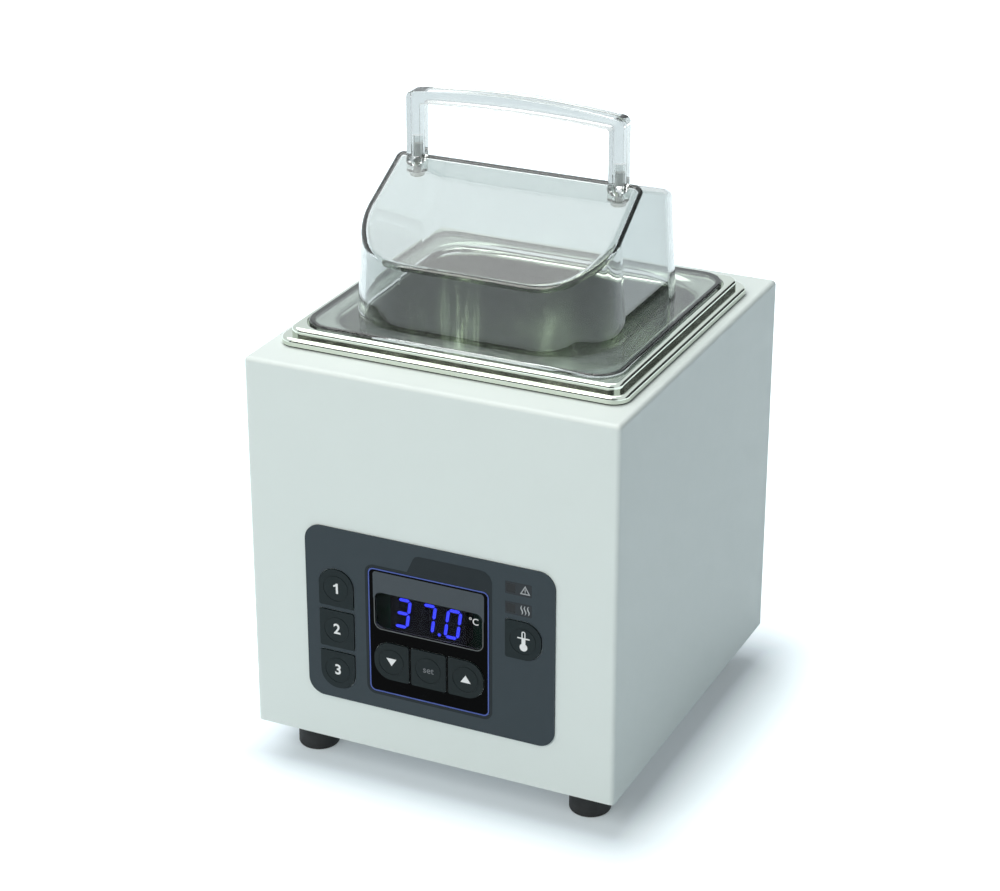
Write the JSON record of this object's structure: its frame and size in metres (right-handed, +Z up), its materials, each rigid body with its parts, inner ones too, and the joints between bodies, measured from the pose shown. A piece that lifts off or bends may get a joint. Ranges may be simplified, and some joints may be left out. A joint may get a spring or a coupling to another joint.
{
  "type": "laboratory water bath",
  "caption": "Small bench water bath: painted case with a front control panel, pressed stainless tank, and a clear gabled lift-off lid with an arched handle.",
  "frame": {"origin": "on the bench surface, under the middle of the whole object", "axes": "+Z up, +X to the right of a person who faces the panel, +Y from the front panel to the rear"},
  "size_m": [0.183, 0.2002, 0.3119],
  "materials": {
    "casing_paint": "fine textured powder coat, pale grey white",
    "zinc_plate": "galvanised sheet",
    "stainless": "polished pressed stainless steel",
    "zinc_screw": "zinc plated",
    "handle_screw_steel": "stainless, dull",
    "gasket_rubber": "silicone, matt",
    "foam": "closed cell foam",
    "heater_silicone": "silicone rubber, satin",
    "clamp_aluminium": "mill finish",
    "black_moulding": "moulded, fine grain",
    "fuse_drawer_moulding": "moulded, satin",
    "rocker_gloss": "gloss",
    "inlet_brass": "plated",
    "fuse_glass": "clear, with plated caps",
    "overlay_grey": "printed film, satin",
    "screen_gloss": "gloss",
    "window_tint": "tinted, polished",
    "display_body": "matt",
    "display_lit": "glowing",
    "display_unlit": "matt",
    "board_green": "solder resist, satin",
    "spacer_nylon": "nylon",
    "switch_plastic": "moulded",
    "clear_plastic": "clear, polished",
    "clear_handle": "clear, polished",
    "transformer_resin": "potted resin",
    "relay_plastic": "moulded",
    "terminal_green": "moulded",
    "foot_rubber": "moulded, matt",
    "key_grey": "printed film, satin",
    "key_black": "satin gloss",
    "lamp_lens": "smoked"
  },
  "bodies": {
    "case": {"alarm_lamp": "lamp_lens", "base_plate": "zinc_plate", "base_screws": "zinc_screw", "board_nuts": "zinc_screw", "board_spacers": "spacer_nylon", "control_board": "board_green", "display_bars_dark": "display_unlit", "display_bars_lit": "display_lit", "display_module": "display_body", "display_window": "window_tint", "earth_nut": "zinc_screw", "foot_front_left": "foot_rubber", "foot_front_right": "foot_rubber", "foot_nuts": "zinc_screw", "foot_rear_left": "foot_rubber", "foot_rear_right": "foot_rubber", "foot_screws": "zinc_screw", "heater_clamp_plate": "clamp_aluminium", "heater_nuts": "zinc_screw", "heater_pad": "heater_silicone", "heater_relay": "relay_plastic", "heating_lamp": "lamp_lens", "inlet_pins": "inlet_brass", "insulation_jacket": "foam", "key_switches": "switch_plastic", "mains_inlet": "black_moulding", "outer_casing": "casing_paint", "overheat_cutout": "black_moulding", "panel_overlay": "overlay_grey", "power_board": "board_green", "power_board_screws": "zinc_screw", "power_board_spacers": "spacer_nylon", "power_switch": "black_moulding", "probe_clip": "stainless", "rear_panel": "casing_paint", "rear_screws": "zinc_screw", "rim_gasket": "gasket_rubber", "rim_nuts": "zinc_screw", "screen_panel": "screen_gloss", "tank": "stainless", "temperature_probe": "stainless", "terminal_block": "terminal_green", "transformer": "transformer_resin"},
    "lid": {"lid": "clear_plastic", "lid_handle": "clear_handle", "handle_screws": "handle_screw_steel"},
    "switch_rocker": {"switch_rocker": "rocker_gloss"},
    "fuse_drawer": {"fuse_drawer": "fuse_drawer_moulding", "fuse": "fuse_glass"},
    "key_preset_1": {"key_preset_1": "key_grey"},
    "key_preset_2": {"key_preset_2": "key_grey"},
    "key_preset_3": {"key_preset_3": "key_grey"},
    "key_down": {"key_down": "key_black"},
    "key_set": {"key_set": "key_black"},
    "key_up": {"key_up": "key_black"},
    "key_sensor": {"key_sensor": "key_grey"}
  },
  "joints": [
    {"name": "lid_lift", "type": "slide", "parent": "case", "child": "lid", "axis": [0, 0, 1], "range_m": [0, 0.15]},
    {"name": "key_preset_1_press", "type": "slide", "parent": "case", "child": "key_preset_1", "axis": [0, 1, 0], "range_m": [0, 0.0004], "stiffness_N_per_m": 400},
    {"name": "key_preset_2_press", "type": "slide", "parent": "case", "child": "key_preset_2", "axis": [0, 1, 0], "range_m": [0, 0.0004], "stiffness_N_per_m": 400},
    {"name": "key_preset_3_press", "type": "slide", "parent": "case", "child": "key_preset_3", "axis": [0, 1, 0], "range_m": [0, 0.0004], "stiffness_N_per_m": 400},
    {"name": "key_down_press", "type": "slide", "parent": "case", "child": "key_down", "axis": [0, 1, 0], "range_m": [0, 0.0004], "stiffness_N_per_m": 400},
    {"name": "key_set_press", "type": "slide", "parent": "case", "child": "key_set", "axis": [0, 1, 0], "range_m": [0, 0.0004], "stiffness_N_per_m": 400},
    {"name": "key_up_press", "type": "slide", "parent": "case", "child": "key_up", "axis": [0, 1, 0], "range_m": [0, 0.0004], "stiffness_N_per_m": 400},
    {"name": "key_sensor_press", "type": "slide", "parent": "case", "child": "key_sensor", "axis": [0, 1, 0], "range_m": [0, 0.0004], "stiffness_N_per_m": 400},
    {"name": "rocker_tilt", "type": "hinge", "parent": "case", "child": "switch_rocker", "pos_m": [0.012, 0.09505, 0.0585], "axis": [1, 0, 0], "range_deg": [0, 20]},
    {"name": "fuse_drawer_slide", "type": "slide", "parent": "case", "child": "fuse_drawer", "axis": [0, 1, 0], "range_m": [0, 0.016]}
  ]
}
